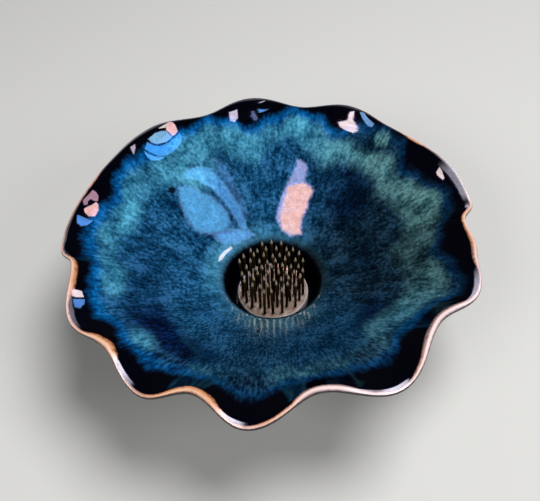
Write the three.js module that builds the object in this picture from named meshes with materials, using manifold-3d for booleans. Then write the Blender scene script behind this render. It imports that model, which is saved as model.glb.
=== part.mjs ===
// A posy bowl with its flower frog: a wide fluted stoneware dish that rolls over into a small
// central well, and the pin frog that stands in the well, a lead disc full of brass pins.
// Millimetres, +Z up. The origin is the middle of the foot, on the table.

import * as THREE from 'three';
import { mergeVertices } from 'three/addons/utils/BufferGeometryUtils.js';
import Module from 'manifold-3d';

const wasm = await Module();
wasm.setup();

// The frog: a cast disc and its pins
const frogRadius = 17;
const frogHeight = 6.6;
const frogEdgeRadius = 0.9;
const pinEdgeMargin = 2.2;
const pinLength = 24.4;
const pinRadius = 0.65;
const pinPointLength = 2.6;
const pinSocketDepth = 4.8;
const pinSocketClearance = 0.05;
const pinLeanDegrees = 2.6;
const straightestPinShare = 0.25;

// The well, which is thrown to suit the frog
const frogClearance = 3.8;
const wellCornerRadius = 3;
const wellDepth = 17.5;
const wellDraftDegrees = 6;
const floorThickness = 5;
const wellWallThickness = 5.5;

// The lip, where the well rolls over into the dish
const lipRadius = 5;
const dishStartSlope = 20;

// The dish
const rimRadius = 90;
const rimRise = 32.2;
const rimSlope = 25;
const rimThickness = 3.4;
const dishThickness = 5;

// The flutes of the rim: how far the rim sways out and in, and how far it dips and rises
const fluteReach = 5;
const fluteRise = 2;
const fluteStart = 0.55;

// The foot
const footFlare = 3;
const footRingWidth = 5;
const footRingHeight = 4;
const footBevel = 1.2;
const waistHeight = 8.5;

// How far each end of the outside's two curves keeps its own direction, as a share of their reach
const shoulderPull = 0.7;
const waistPull = 0.45;
const waistDropPull = 0.6;
const footTopPull = 0.7;

// How finely the turned forms are cut
const bowlSegments = 120;
const discSegments = 48;
const pinSides = 8;
const cornerSteps = 3;
const lipSteps = 5;
const dishSteps = 9;
const throwingSteps = 4;
const footSteps = 3;
const edgeSteps = 3;

// Worked out from the values above
const wellFloorZ = footRingHeight + floorThickness;
const lipZ = wellFloorZ + wellDepth;
const wellRadius = frogRadius + frogClearance;
const waistRadius = wellRadius + wellWallThickness;
const footRadius = waistRadius + footFlare;
const rimZ = lipZ + rimRise;
const pinSocketRadius = pinRadius + pinSocketClearance;
const frogTopZ = wellFloorZ + frogHeight;

const glaze = new THREE.MeshStandardMaterial({ color: 0x1d5a78, roughness: 0.12, metalness: 0 });
const lead = new THREE.MeshStandardMaterial({ color: 0x8c8378, roughness: 0.6, metalness: 0.6 });
const brass = new THREE.MeshStandardMaterial({ color: 0xb59a63, roughness: 0.35, metalness: 0.9 });

// Each flute of the hand-worked rim, counter-clockwise from +X: where it lies in degrees, its share
// of the reach, out where it is positive, and its share of the rise. Lobes go out and dip, and the
// notches between them go in and lift.
const flutes = [
  { at: 0, out: -1.0, up: 0.5 },
  { at: 8, out: 0.3, up: -0.4 },
  { at: 23, out: 0.68, up: -0.6 },
  { at: 46, out: -0.86, up: 1.6 },
  { at: 63, out: 1.0, up: -1.0 },
  { at: 78, out: -1.22, up: 0.3 },
  { at: 95, out: 0.94, up: -1.2 },
  { at: 112, out: -1.26, up: 0.4 },
  { at: 129, out: 0.66, up: -0.8 },
  { at: 151, out: -0.6, up: 1.3 },
  { at: 178, out: 0.4, up: -1.6 },
  { at: 184, out: 0.32, up: -1.0 },
  { at: 192, out: -0.7, up: 1.1 },
  { at: 209, out: 0.76, up: -0.8 },
  { at: 222, out: -0.2, up: 0.5 },
  { at: 237, out: 0.92, up: -1.1 },
  { at: 249, out: -0.6, up: 0.5 },
  { at: 263, out: 1.16, up: -0.7 },
  { at: 281, out: -1.1, up: 1.0 },
  { at: 300, out: 0.76, up: -0.6 },
  { at: 320, out: -1.1, up: 1.4 },
  { at: 337, out: 0.4, up: -0.8 },
  { at: 349, out: -0.35, up: 0.5 },
];

// The sway of the rim at one azimuth, eased from each flute to the next
function fluteAt(azimuth) {
  const turn = 360;
  const from = azimuth < flutes[0].at ? azimuth + turn : azimuth;
  let index = flutes.length - 1;
  while (flutes[index].at > from) index -= 1;
  const here = flutes[index];
  const next = flutes[(index + 1) % flutes.length];
  const nextAt = next.at > here.at ? next.at : next.at + turn;
  const ease = (1 - Math.cos((Math.PI * (from - here.at)) / (nextAt - here.at))) / 2;
  return {
    out: fluteReach * THREE.MathUtils.lerp(here.out, next.out, ease),
    up: fluteRise * THREE.MathUtils.lerp(here.up, next.up, ease),
  };
}

// The directions along and across a wall that climbs outwards at a slope in degrees
function along(slope) {
  const angle = THREE.MathUtils.degToRad(slope);
  return new THREE.Vector2(Math.cos(angle), Math.sin(angle));
}
function across(slope) {
  const way = along(slope);
  return new THREE.Vector2(-way.y, way.x);
}

// An arc about a centre, its normal turning from one slope to another
function arc(centre, radius, fromSlope, toSlope, steps) {
  const points = [];
  for (let i = 0; i <= steps; i += 1) {
    const slope = THREE.MathUtils.lerp(fromSlope, toSlope, i / steps);
    points.push(centre.clone().addScaledVector(across(slope), radius));
  }
  return points;
}

// The inside of the well: its floor, the swept corner, and the drafted wall up to the lip
const wellSlope = 90 - wellDraftDegrees;
const cornerCentre = new THREE.Vector2(wellRadius - wellCornerRadius, wellFloorZ + wellCornerRadius);
const corner = [];
for (let i = 0; i <= cornerSteps; i += 1) {
  const slope = THREE.MathUtils.lerp(0, wellSlope, i / cornerSteps);
  corner.push(cornerCentre.clone().addScaledVector(across(slope), -wellCornerRadius));
}
const cornerTop = corner[corner.length - 1];
const lipCentreZ = lipZ - lipRadius;
const wallRun = (lipCentreZ + lipRadius * across(wellSlope).y - cornerTop.y) / along(wellSlope).y;
const wallTop = cornerTop.clone().addScaledVector(along(wellSlope), wallRun);
const lipCentre = wallTop.clone().addScaledVector(across(wellSlope), -lipRadius);
const lip = arc(lipCentre, lipRadius, wellSlope, dishStartSlope, lipSteps);
const lipEnd = lip[lip.length - 1];

// The inside of the dish, one sweep from the lip to the rim
const rimCentre = new THREE.Vector2(rimRadius - rimThickness / 2, rimZ);
const rimInside = rimCentre.clone().addScaledVector(across(rimSlope), rimThickness / 2);
const sweepReach = lipEnd.distanceTo(rimInside) / 3;
const dishCurve = new THREE.CubicBezierCurve(
  lipEnd,
  lipEnd.clone().addScaledVector(along(dishStartSlope), sweepReach),
  rimInside.clone().addScaledVector(along(rimSlope), -sweepReach),
  rimInside,
);
const dish = dishCurve.getPoints(dishSteps);

// The underside of the dish follows the inside at the wall's thickness, and thickens inwards
const underside = [];
const shoulderStep = 3;
for (let i = dishSteps - 1; i >= shoulderStep; i -= 1) {
  const share = i / dishSteps;
  const tangent = dishCurve.getTangent(share);
  const thickness = THREE.MathUtils.lerp(dishThickness, rimThickness, share);
  const outwards = new THREE.Vector2(tangent.y, -tangent.x);
  underside.push(dishCurve.getPoint(share).addScaledVector(outwards, thickness));
}

// Under the well the wall draws in to a waist above the trimmed foot ring
const waist = new THREE.Vector2(waistRadius, waistHeight);
const shoulder = underside[underside.length - 1];
const shoulderTangent = dishCurve.getTangent(shoulderStep / dishSteps);
const throwingCurve = new THREE.CubicBezierCurve(
  shoulder,
  shoulder.clone().addScaledVector(shoulderTangent, -(shoulder.x - waist.x) * shoulderPull),
  waist.clone().add(new THREE.Vector2(0, (shoulder.y - waist.y) * waistPull)),
  waist,
);
const footTop = new THREE.Vector2(footRadius, footRingHeight);
const footCurve = new THREE.CubicBezierCurve(
  waist,
  waist.clone().add(new THREE.Vector2(0, (footTop.y - waist.y) * waistDropPull)),
  footTop.clone().add(new THREE.Vector2((waist.x - footTop.x) * footTopPull, 0)),
  footTop,
);
const foot = [
  new THREE.Vector2(footRadius, footBevel),
  new THREE.Vector2(footRadius - footBevel, 0),
  new THREE.Vector2(footRadius - footRingWidth + footBevel, 0),
  new THREE.Vector2(footRadius - footRingWidth, footBevel),
  new THREE.Vector2(footRadius - footRingWidth - footBevel, footRingHeight),
];

// The whole section of the bowl, from the middle of the well floor round to the middle beneath it
const section = [
  new THREE.Vector2(0, wellFloorZ),
  ...corner,
  ...lip,
  ...dish.slice(1),
  ...arc(rimCentre, rimThickness / 2, rimSlope, rimSlope - 180, lipSteps).slice(1),
  ...underside,
  ...throwingCurve.getPoints(throwingSteps).slice(1),
  ...footCurve.getPoints(footSteps).slice(1),
  ...foot,
  new THREE.Vector2(0, footRingHeight),
];

// How much of the rim's sway a point of the section takes: none up to the start of the flutes
function fluteShare(radius) {
  const outwards = (radius - lipEnd.x) / (rimCentre.x - lipEnd.x);
  const share = THREE.MathUtils.clamp((outwards - fluteStart) / (1 - fluteStart), 0, 1);
  return share * share;
}

// Turns the section round the axis and sways it by the flutes as it goes
function bowlGeometry() {
  const rings = section.slice(1, -1);
  const positions = [];
  const indices = [];
  for (let k = 0; k < bowlSegments; k += 1) {
    const azimuth = (360 * k) / bowlSegments;
    const angle = THREE.MathUtils.degToRad(azimuth);
    const sway = fluteAt(azimuth);
    for (const point of rings) {
      const share = fluteShare(point.x);
      const radius = point.x + share * sway.out;
      positions.push(radius * Math.cos(angle), radius * Math.sin(angle), point.y + share * sway.up);
    }
  }
  const top = positions.length / 3;
  positions.push(0, 0, section[0].y);
  const bottom = top + 1;
  positions.push(0, 0, section[section.length - 1].y);
  for (let k = 0; k < bowlSegments; k += 1) {
    const here = k * rings.length;
    const next = ((k + 1) % bowlSegments) * rings.length;
    indices.push(top, here, next);
    for (let i = 0; i < rings.length - 1; i += 1) {
      indices.push(here + i, here + i + 1, next + i + 1);
      indices.push(here + i, next + i + 1, next + i);
    }
    indices.push(bottom, next + rings.length - 1, here + rings.length - 1);
  }
  const geometry = new THREE.BufferGeometry();
  geometry.setAttribute('position', new THREE.Float32BufferAttribute(positions, 3));
  geometry.setIndex(indices);
  geometry.computeVertexNormals();
  return geometry;
}

// A closed geometry as a solid that can be cut, and back again
function toSolid(geometry) {
  const bare = geometry.clone();
  bare.deleteAttribute('normal');
  bare.deleteAttribute('uv');
  const merged = mergeVertices(bare, 1e-4);
  return new wasm.Manifold(new wasm.Mesh({
    numProp: 3,
    vertProperties: new Float32Array(merged.attributes.position.array),
    triVerts: new Uint32Array(merged.index.array),
  }));
}
function toGeometry(solid) {
  const mesh = solid.getMesh();
  const geometry = new THREE.BufferGeometry();
  geometry.setAttribute('position', new THREE.Float32BufferAttribute(mesh.vertProperties, 3));
  geometry.setIndex(new THREE.Uint32BufferAttribute(mesh.triVerts, 1));
  geometry.computeVertexNormals();
  return geometry;
}

// Turns a lathe, which spins about +Y, to stand along +Z
function standing(profile, sides) {
  return new THREE.LatheGeometry(profile, sides).rotateX(Math.PI / 2);
}

// The pins stand on a triangular lattice: every point of it that lies within the outer ring
const latticeReach = 3;
const outerRingSquared = latticeReach * latticeReach + latticeReach + 1;
const pinSpacing = (frogRadius - pinEdgeMargin) / Math.sqrt(outerRingSquared);
function pinPlaces() {
  const places = [];
  const span = latticeReach + 1;
  const rounding = 0.01;
  for (let row = -span; row <= span; row += 1) {
    for (let column = -2 * span; column <= 2 * span; column += 1) {
      const steps = column + row / 2;
      const squared = steps * steps + (3 * row * row) / 4;
      if (squared < outerRingSquared + rounding) {
        places.push(new THREE.Vector2(steps * pinSpacing, (row * Math.sqrt(3) * pinSpacing) / 2));
      }
    }
  }
  return places;
}

// Each pin leans a little its own way, as pins cast by hand do
function pinLean(index) {
  const goldenAngle = Math.PI * (3 - Math.sqrt(5));
  const shuffled = ((index * 7) % 11) / 10;
  const share = THREE.MathUtils.lerp(straightestPinShare, 1, shuffled);
  const amount = THREE.MathUtils.degToRad(pinLeanDegrees) * share;
  const way = index * goldenAngle * 2;
  return new THREE.Euler(amount * Math.cos(way), amount * Math.sin(way), 0);
}

// A pin from its foot in the socket to its filed point
function pinGeometry() {
  const shoulderAt = pinLength - pinPointLength;
  return standing([
    new THREE.Vector2(0, 0),
    new THREE.Vector2(pinRadius, 0),
    new THREE.Vector2(pinRadius, shoulderAt),
    new THREE.Vector2(0, pinLength),
  ], pinSides);
}

// The cutter for a pin's socket: as long as the pin, so that it leaves by the top of the disc
function socketGeometry() {
  return standing([
    new THREE.Vector2(0, -pinSocketClearance),
    new THREE.Vector2(pinSocketRadius, -pinSocketClearance),
    new THREE.Vector2(pinSocketRadius, pinLength),
    new THREE.Vector2(0, pinLength),
  ], pinSides);
}

// The cast disc, its upper edge rounded, with a blind socket for each pin
function frogBaseGeometry(pins) {
  const edge = [];
  for (let i = 0; i <= edgeSteps; i += 1) {
    const angle = (Math.PI / 2) * (i / edgeSteps);
    edge.push(new THREE.Vector2(
      frogRadius - frogEdgeRadius * (1 - Math.cos(angle)),
      frogHeight - frogEdgeRadius * (1 - Math.sin(angle)),
    ));
  }
  const disc = standing([
    new THREE.Vector2(0, 0),
    new THREE.Vector2(frogRadius, 0),
    ...edge,
    new THREE.Vector2(0, frogHeight),
  ], discSegments).translate(0, 0, wellFloorZ);
  let solid = toSolid(disc);
  for (const pin of pins) {
    pin.updateMatrixWorld();
    solid = solid.subtract(toSolid(socketGeometry().applyMatrix4(pin.matrixWorld)));
  }
  return toGeometry(solid);
}

// The assembly
const posyBowl = new THREE.Group();

const bowl = new THREE.Mesh(bowlGeometry(), glaze);
bowl.name = 'bowl';
posyBowl.add(bowl);

const flowerFrog = new THREE.Group();
posyBowl.add(flowerFrog);

const pins = pinPlaces().map((place, index) => {
  const pin = new THREE.Mesh(pinGeometry(), brass);
  pin.name = `pin_${String(index + 1).padStart(2, '0')}`;
  pin.position.set(place.x, place.y, frogTopZ - pinSocketDepth);
  pin.rotation.copy(pinLean(index));
  return pin;
});

const frogBase = new THREE.Mesh(frogBaseGeometry(pins), lead);
frogBase.name = 'frog_base';
flowerFrog.add(frogBase, ...pins);

export default posyBowl;
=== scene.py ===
# %% [markdown]
# # A posy bowl with its flower frog
#
# The object is a wide stoneware dish that rolls over into a small well, with a pin frog standing in
# the well. Three materials make its look: a floating blue glaze that leaves the clay bare along the
# rim, cast lead, and brass. This lesson turns the bowl by Geometry Nodes, sets the pins the same
# way, and builds the glaze out of short sums over a few small patterns.

# %% Load the frame
import math

import bmesh
import bpy
from mathutils import Matrix, Vector


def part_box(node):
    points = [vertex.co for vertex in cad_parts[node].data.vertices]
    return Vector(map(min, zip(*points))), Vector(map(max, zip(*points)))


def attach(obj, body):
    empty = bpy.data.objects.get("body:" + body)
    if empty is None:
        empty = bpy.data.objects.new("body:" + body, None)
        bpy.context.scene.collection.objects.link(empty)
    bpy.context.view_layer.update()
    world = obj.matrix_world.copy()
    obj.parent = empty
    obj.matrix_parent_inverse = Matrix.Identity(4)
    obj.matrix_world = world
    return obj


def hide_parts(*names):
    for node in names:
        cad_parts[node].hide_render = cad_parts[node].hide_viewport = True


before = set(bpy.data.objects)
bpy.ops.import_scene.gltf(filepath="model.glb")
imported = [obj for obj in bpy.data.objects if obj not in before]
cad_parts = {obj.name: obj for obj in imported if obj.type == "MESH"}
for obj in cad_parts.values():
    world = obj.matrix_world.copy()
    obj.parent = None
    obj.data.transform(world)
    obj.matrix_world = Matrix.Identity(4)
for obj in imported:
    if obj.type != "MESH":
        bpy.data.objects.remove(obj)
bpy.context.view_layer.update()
mm = 0.001

# %% [markdown]
# ## Sizes
#
# Everything that the frame can tell is read from it: where the frog's disc stands, how wide and how
# high it is. The rest are the driving sizes of the bowl, in millimetres, as a potter would note them.

# %% Sizes of the frog and the well
disc_low, disc_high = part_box("frog_base")
frog_radius = disc_high.x
frog_floor = disc_low.z
frog_height = disc_high.z - disc_low.z
frog_top = disc_high.z
frog_clearance = 3.8 * mm
well_corner_radius = 3 * mm
well_depth = 17.5 * mm
well_draft = 6
well_radius = frog_radius + frog_clearance
print(f"frog {2000 * frog_radius:.1f} mm across, {1000 * frog_height:.1f} mm high")

# %% Sizes of the lip, the dish and the foot
lip_radius = 5 * mm
dish_start_slope = 20
rim_radius = 90 * mm
rim_rise = 32.2 * mm
rim_slope = 25
rim_thickness = 3.4 * mm
dish_thickness = 5 * mm
well_wall_thickness = 5.5 * mm
waist_radius = well_radius + well_wall_thickness
waist_height = 8.5 * mm
foot_flare_width = 3 * mm
foot_radius = waist_radius + foot_flare_width
foot_ring_width = 5 * mm
foot_ring_height = 4 * mm
foot_bevel = 1.2 * mm
lip_height = frog_floor + well_depth
rim_height = lip_height + rim_rise
print(f"lip at {1000 * lip_height:.1f} mm, rim at {1000 * rim_height:.1f} mm")

# %% [markdown]
# ## The section of the bowl
#
# A thrown bowl is a section turned round an axis. It could be modelled as a mesh by hand, but a
# section that is worked out from arcs and Bezier curves carries reflections without a break. Each
# point also gets its distance from the crest of the rim along the surface, positive on the inside,
# because a glaze breaks and pools by that distance.


# %% Directions and arcs in the plane of the section
def along(slope):
    """The direction along a wall that climbs outwards at a slope in degrees."""
    return Vector((math.cos(math.radians(slope)), math.sin(math.radians(slope))))


def across(slope):
    """The direction across that wall, to the inside of the bowl."""
    way = along(slope)
    return Vector((-way.y, way.x))


def arc(centre, radius, slope_from, slope_to, steps):
    """Points round a centre while the wall's slope turns from one angle to another."""
    slopes = [slope_from + (slope_to - slope_from) * i / steps for i in range(steps + 1)]
    return [centre + across(slope) * radius for slope in slopes]


print("a wall at 25 degrees runs along", along(25))


# %% Bezier curves in that plane
def bezier(start, start_handle, end_handle, end, share):
    """A point of a cubic Bezier curve and its direction there."""
    rest = 1 - share
    point = start * rest**3 + start_handle * 3 * rest * rest * share
    point += end_handle * 3 * rest * share * share + end * share**3
    way = (start_handle - start) * rest * rest + (end_handle - start_handle) * 2 * rest * share
    way += (end - end_handle) * share * share
    return point, way.normalized()


def bezier_points(start, start_handle, end_handle, end, steps):
    return [bezier(start, start_handle, end_handle, end, i / steps)[0] for i in range(steps + 1)]


def rounded(corner_point, before, after, steps):
    """A corner eased from one point to another, as a sponge leaves it."""
    return [
        before.lerp(corner_point, i / steps).lerp(corner_point.lerp(after, i / steps), i / steps)
        for i in range(steps + 1)
    ]


print("curves and eased corners are ready")

# %% [markdown]
# The inside is what the eye follows: the flat floor that the frog stands on, a swept corner, a wall
# that leans out a little so that the frog lifts clear, the rolled lip, and the long sweep of the
# dish. Each part begins where the last one ends and in its direction, so no edge shows.

# %% The inside: well floor, corner, drafted wall, rolled lip and dish
corner_steps = 8
lip_steps = 14
dish_steps = 54
well_slope = 90 - well_draft
corner_centre = Vector((well_radius - well_corner_radius, frog_floor + well_corner_radius))
corner = arc(corner_centre, -well_corner_radius, 0, well_slope, corner_steps)
lip_centre_height = lip_height - lip_radius
wall_run = lip_centre_height + lip_radius * across(well_slope).y - corner[-1].y
wall_top = corner[-1] + along(well_slope) * (wall_run / along(well_slope).y)
lip_centre = wall_top - across(well_slope) * lip_radius
lip = arc(lip_centre, lip_radius, well_slope, dish_start_slope, lip_steps)
rim_centre = Vector((rim_radius - rim_thickness / 2, rim_height))
rim_inside = rim_centre + across(rim_slope) * rim_thickness / 2
sweep_reach = (rim_inside - lip[-1]).length / 3
dish_curve = (
    lip[-1],
    lip[-1] + along(dish_start_slope) * sweep_reach,
    rim_inside - along(rim_slope) * sweep_reach,
    rim_inside,
)
dish = bezier_points(*dish_curve, dish_steps)
floor_steps = [Vector((well_radius * share, frog_floor)) for share in (0, 0.2, 0.4, 0.6, 0.75)]
wall = [corner[-1].lerp(wall_top, share) for share in (0.25, 0.5, 0.75)]
inside = floor_steps + corner + wall + lip + dish[1:]
print(len(inside), "points from the well's floor to the rim")

# %% [markdown]
# The underside runs below the dish at the wall's thickness, which grows towards the well, then eases
# down to a waist and out to a foot ring. A potter trims that ring once the clay has stiffened. A
# Solidify modifier would give one thickness everywhere and no foot, so the outside gets points of
# its own.

# %% The round rim, the underside, the shoulder and the waist
rim_steps = 12
underside_steps = 28
throwing_steps = 20
flare_steps = 8
shoulder_share = 1 / 3
shoulder_pull = 0.7
waist_pull = 0.45
waist_drop_pull = 0.6
foot_top_pull = 0.7
rim_round = arc(rim_centre, rim_thickness / 2, rim_slope, rim_slope - 180, rim_steps)
underside = []
for i in range(1, underside_steps + 1):
    share = 1 - (1 - shoulder_share) * i / underside_steps
    point, way = bezier(*dish_curve, share)
    thickness = dish_thickness + (rim_thickness - dish_thickness) * share
    underside.append(point + Vector((way.y, -way.x)) * thickness)
waist = Vector((waist_radius, waist_height))
shoulder = underside[-1]
shoulder_way = bezier(*dish_curve, shoulder_share)[1]
throwing = bezier_points(
    shoulder,
    shoulder - shoulder_way * (shoulder.x - waist.x) * shoulder_pull,
    waist + Vector((0, (shoulder.y - waist.y) * waist_pull)),
    waist,
    throwing_steps,
)
foot_top = Vector((foot_radius, foot_ring_height))
foot_flare = bezier_points(
    waist,
    waist + Vector((0, (foot_top.y - waist.y) * waist_drop_pull)),
    foot_top + Vector(((waist.x - foot_top.x) * foot_top_pull, 0)),
    foot_top,
    flare_steps,
)
print(len(underside) + len(throwing) + len(foot_flare), "points from the rim down to the foot")

# %% The trimmed foot ring and the whole section
edge_steps = 5
inner_edge_steps = 4
foot_inner = foot_radius - foot_ring_width
foot = rounded(
    Vector((foot_radius, 0)),
    Vector((foot_radius, foot_bevel)),
    Vector((foot_radius - foot_bevel, 0)),
    edge_steps,
)
foot += rounded(
    Vector((foot_inner, 0)),
    Vector((foot_inner + foot_bevel, 0)),
    Vector((foot_inner, foot_bevel)),
    edge_steps,
)
foot += rounded(
    Vector((foot_inner - foot_bevel * 0.5, foot_ring_height)),
    Vector((foot_inner - foot_bevel * 0.5, foot_ring_height - foot_bevel)),
    Vector((foot_inner - foot_bevel * 1.5, foot_ring_height)),
    inner_edge_steps,
)
beneath = [Vector((foot_inner * share, foot_ring_height)) for share in (0.7, 0.35, 0)]
outside = rim_round[1:] + underside[1:] + throwing[1:] + foot_flare[1:] + foot + beneath
section = inside + outside
crest_index = len(inside) - 1 + rim_steps // 2
print(len(section), "points in the whole section, the crest at", crest_index)

# %% The distance of each point from the crest
edge_distance = [0.0] * len(section)
for i in range(crest_index, 0, -1):
    edge_distance[i - 1] = edge_distance[i] + (section[i] - section[i - 1]).length
for i in range(crest_index, len(section) - 1):
    edge_distance[i + 1] = edge_distance[i] - (section[i + 1] - section[i]).length
lip_distance = edge_distance[len(floor_steps) + len(corner) + len(wall) + len(lip) - 1]
print(f"from the crest to the lip: {1000 * lip_distance:.1f} mm")

# %% [markdown]
# ## The rim's flutes and where the glaze thins
#
# The potter pushed the soft rim out into lobes and in into notches. The lobes are uneven, so no
# simple wave would do: each flute is one line of a list, with its azimuth in degrees, how far it
# sways out and how far it rises. The glaze ran thinner on some flanks than on others, so the widths
# of its bands go round the rim on lists of their own, in the same way.
#
# The flutes were fitted to the rim's outline in a photograph of the bowl. The bands near the rim and
# in the dish were fitted to its colours by least squares, and a few of their values were then
# changed. The lists for the lip and the crest were written one by one. They hold lengths, shares and,
# for the crest, a brightness. A share says how far one colour of the glaze gives way to another at
# that azimuth.

# %% The flutes of the rim
flute_reach = 5 * mm
flute_rise = 2 * mm
flute_start = 0.55
flutes = [
    (0, -1.0, 0.5),
    (8, 0.3, -0.4),
    (23, 0.68, -0.6),
    (46, -0.86, 1.6),
    (63, 1.0, -1.0),
    (78, -1.22, 0.3),
    (95, 0.94, -1.2),
    (112, -1.26, 0.4),
    (129, 0.66, -0.8),
    (151, -0.6, 1.3),
    (178, 0.4, -1.6),
    (184, 0.32, -1.0),
    (192, -0.7, 1.1),
    (209, 0.76, -0.8),
    (222, -0.2, 0.5),
    (237, 0.92, -1.1),
    (249, -0.6, 0.5),
    (263, 1.16, -0.7),
    (281, -1.1, 1.0),
    (300, 0.76, -0.6),
    (320, -1.1, 1.4),
    (337, 0.4, -0.8),
    (349, -0.35, 0.5),
]
print(len(flutes), "turns of the rim")

# %% The bands near the rim
# Azimuth, width of the dark band, near and far edge of the pale cloud (mm in from the crest), and
# the cloud's share.
edge_bands = [
    (0, 13.3, 17.7, 40.8, 0.37),
    (8, 8.6, 16.1, 31.1, 0.66),
    (16, 8.2, 7, 29.8, 0.91),
    (24, 12.6, 15.7, 30.8, 0.61),
    (32, 14.3, 19.8, 32.8, 0.72),
    (40, 3.9, 16.6, 27, 1),
    (48, 3.1, 19.6, 26.8, 1),
    (56, 7, 19.2, 27.9, 1),
    (64, 15.3, 19.3, 33.6, 0.88),
    (72, 7.5, 10.5, 27.7, 0.81),
    (80, 2.8, 7, 19.4, 1),
    (88, 10.2, 16.6, 24.6, 0.47),
    (96, 16.5, 18.4, 35.3, 0.59),
    (104, 9.7, 7, 30.6, 0.72),
    (112, 2.5, 7, 24.4, 0.52),
    (120, 8.3, 7, 42, 0.53),
    (128, 9.2, 10.4, 39.9, 0.73),
    (136, 9.8, 17.1, 31.4, 0.61),
    (144, 8, 7, 28.5, 0.29),
    (152, 7, 10.7, 25.9, 0.45),
    (160, 13.5, 18.5, 27.7, 1),
    (168, 10, 19, 28.2, 0.78),
    (176, 9, 13.2, 23.5, 0.48),
    (184, 10.5, 14.5, 23, 0.38),
    (192, 12, 15.1, 26.4, 0.84),
    (200, 9.5, 16.9, 24.9, 0.62),
    (208, 9.5, 24.8, 18, 0),
    (216, 12, 17.4, 22.8, 0),
    (224, 8.3, 7, 22.4, 0.56),
    (232, 10.6, 21.7, 18.7, 0.6),
    (240, 13.7, 24.2, 19.5, 0.45),
    (248, 11.5, 17.5, 21.4, 0.41),
    (256, 12.7, 19.9, 24.6, 0),
    (264, 11, 26.5, 26.3, 0),
    (272, 14.7, 19.8, 32.8, 0.43),
    (280, 13.5, 20.7, 26.7, 0.69),
    (288, 15, 21.3, 30.1, 0.3),
    (296, 15.3, 21.8, 28.6, 0.06),
    (304, 12.9, 16.4, 29.6, 0.06),
    (312, 16.4, 24.6, 38.5, 0.48),
    (320, 14.5, 23.5, 37.2, 0.58),
    (328, 11.3, 19, 33.4, 0.52),
    (336, 6.3, 7, 31.4, 0.51),
    (344, 10.3, 16.6, 32.6, 0.49),
    (352, 18, 24.6, 38.4, 0.23),
]
print(len(edge_bands), "entries for the bands near the rim")

# %% The pools of the dish and the bluer, lighter side
# Azimuth, near and far edge of the dark pool (mm in from the crest), its share, and how blue and
# light
# the side is: partly the glaze, partly painted window light.
dish_bands = [
    (0, 48, 72, 0.66, 0),
    (20, 48, 56.4, 0.41, 0.07),
    (40, 31.9, 54.6, 1, 0.19),
    (60, 20, 51.8, 0.32, 0.54),
    (80, 25.2, 46.6, 0.04, 0.99),
    (100, 29.5, 45.6, 0, 1),
    (120, 31.1, 46.3, 0, 1),
    (140, 31.6, 45.2, 0, 1),
    (160, 31.3, 41.5, 0, 1),
    (180, 33.7, 46, 0.33, 1),
    (200, 21.3, 45.7, 0.36, 1),
    (220, 20, 39.8, 1, 0.89),
    (240, 20.8, 38.9, 1, 0.45),
    (260, 48, 34, 0, 0.15),
    (280, 47.9, 50.3, 0.59, 0.2),
    (300, 42.3, 47.5, 0.39, 0.22),
    (320, 26.3, 50.7, 0.99, 0.33),
    (340, 48, 50, 0.36, 0.03),
]
print(len(dish_bands), "entries for the dish")

# %% The lip of the well
# Azimuth, how pale the lip is, and how pale the ring in front of it is.
lip_band = [
    (0, 0.0, 0.0),
    (30, 0.0, 0.0),
    (60, 0.3, 0.15),
    (90, 0.7, 0.35),
    (120, 1.0, 0.7),
    (150, 1.0, 0.8),
    (180, 1.0, 0.6),
    (210, 0.8, 0.2),
    (240, 0.35, 0.4),
    (270, 0.1, 0.4),
    (300, 0.2, 0.35),
    (330, 0.0, 0.0),
]
print(len(lip_band), "entries for the lip")

# %% The bare crest
# Azimuth, width of the bare clay in millimetres, how grey it is, and how bright a light it mirrors.
crest_band = [
    (2, 2.6, 0.2, 1.0),
    (7, 1.8, 0.4, 1.5),
    (14, 1.3, 0.8, 7.0),
    (24, 1.3, 0.7, 6.5),
    (31, 1.6, 0.2, 1.5),
    (37, 2.6, 0.0, 1.0),
    (43, 1.2, 0.2, 0.8),
    (78, 0.8, 0.4, 0.8),
    (95, 1.0, 0.4, 1.0),
    (112, 0.8, 0.3, 0.8),
    (129, 1.0, 0.3, 1.5),
    (150, 0.8, 0.3, 0.8),
    (160, 2.2, 0.4, 1.5),
    (172, 1.5, 0.3, 1.5),
    (188, 1.5, 0.2, 1.5),
    (194, 4.2, 0.0, 2.0),
    (199, 4.0, 0.1, 6.0),
    (205, 1.6, 0.4, 6.0),
    (214, 1.4, 0.0, 2.0),
    (219, 3.4, 0.0, 1.5),
    (223, 4.6, 0.0, 3.0),
    (226, 3.6, 0.1, 14.0),
    (229, 1.2, 0.4, 16.0),
    (232, 1.0, 0.4, 8.0),
    (235, 1.2, 0.3, 2.0),
    (240, 1.3, 0.0, 0.8),
    (248, 3.2, 0.0, 1.5),
    (254, 4.2, 0.0, 3.0),
    (257, 2.6, 0.2, 14.0),
    (260, 1.0, 0.4, 15.0),
    (263, 1.2, 0.4, 4.0),
    (268, 1.4, 0.2, 1.5),
    (273, 1.8, 0.4, 1.5),
    (277, 4.4, 0.9, 1.5),
    (281, 3.8, 1.0, 2.0),
    (286, 4.2, 1.0, 4.0),
    (291, 1.6, 0.9, 9.5),
    (295, 1.6, 1.0, 7.0),
    (298, 1.1, 1.0, 14.0),
    (302, 1.1, 0.9, 13.0),
    (305, 2.0, 0.8, 3.0),
    (315, 4.6, 1.0, 3.0),
    (326, 4.4, 1.0, 2.5),
    (332, 1.8, 0.9, 5.0),
    (340, 1.4, 1.0, 8.5),
    (346, 3.0, 0.7, 3.0),
    (352, 3.2, 0.3, 1.5),
]
print(len(crest_band), "entries for the crest")


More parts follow.
